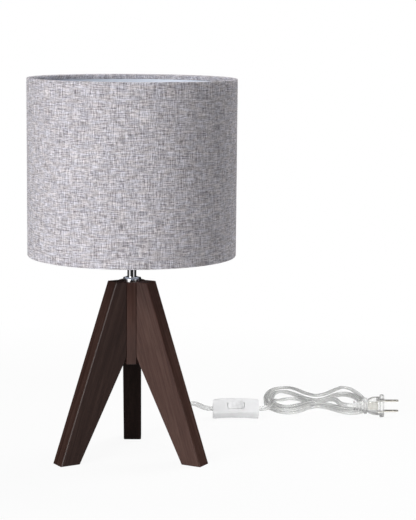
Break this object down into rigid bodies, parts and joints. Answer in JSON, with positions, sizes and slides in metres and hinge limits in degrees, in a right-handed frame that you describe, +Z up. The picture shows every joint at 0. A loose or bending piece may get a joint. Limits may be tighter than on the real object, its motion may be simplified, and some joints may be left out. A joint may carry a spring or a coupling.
{
  "type": "table lamp",
  "caption": "Small table lamp with a straight fabric drum shade on a stained wooden tripod base, and a clear cord with an inline rocker switch and a plug.",
  "frame": {"origin": "on the table, on the axis of the shade and the post", "axes": "+Z up along the shade's axis, +X to the right in the picture, towards the plug, +Y away from the camera, along the rear leg"},
  "size_m": [0.4372, 0.4391, 0.4183],
  "materials": {
    "leg_wood": "dark brown stain, satin",
    "post_wood": "dark brown stain, satin",
    "dowel_wood": "plain beech",
    "plated_metal": "polished plating",
    "steel": "zinc plated",
    "holder_plastic": "moulded, semi-matt",
    "holder_insulator": "moulded, matt",
    "brass": "rolled sheet",
    "blade_brass": "rolled sheet, dulled",
    "white_wire": "powder coated",
    "lining": "smooth white film",
    "cloth": "heathered grey linen weave",
    "white_plastic": "moulded, satin",
    "white_rocker": "moulded, satin",
    "clear_cord": "clear vinyl over bright conductors",
    "clear_plastic": "clear vinyl"
  },
  "bodies": {
    "lamp": {"leg_front_right": "leg_wood", "leg_front_left": "leg_wood", "leg_back": "leg_wood", "leg_dowels": "dowel_wood", "center_post": "post_wood", "neck_tube": "plated_metal", "neck_collar": "plated_metal", "post_washer": "steel", "post_nut": "steel", "cord_bushing": "clear_plastic", "inner_cord": "clear_cord", "holder_cap": "holder_plastic", "holder_body": "holder_plastic", "holder_core": "holder_insulator", "screw_shell": "brass", "center_contact": "brass", "shade_clamp_ring": "holder_plastic", "shade_fitter": "white_wire", "shade_top_ring": "white_wire", "shade_lining": "lining", "shade_cloth": "cloth", "cord_lamp_to_switch": "clear_cord", "switch_base": "white_plastic", "switch_cover": "white_plastic", "rocker_pin": "steel", "switch_terminals": "brass", "contact_strip": "brass", "switch_screws": "steel", "cord_switch_to_hank": "clear_cord", "cord_hank": "clear_cord", "cord_hank_to_plug": "clear_cord", "plug_body": "clear_plastic", "plug_blades": "blade_brass"},
    "rocker": {"switch_rocker": "white_rocker"}
  },
  "joints": [
    {"name": "rocker_tilt", "type": "hinge", "parent": "lamp", "child": "rocker", "pos_m": [0.124, 0.17061, 0.01617], "axis": [0, 0.7071, 0.7071], "range_deg": [0, 14]}
  ]
}
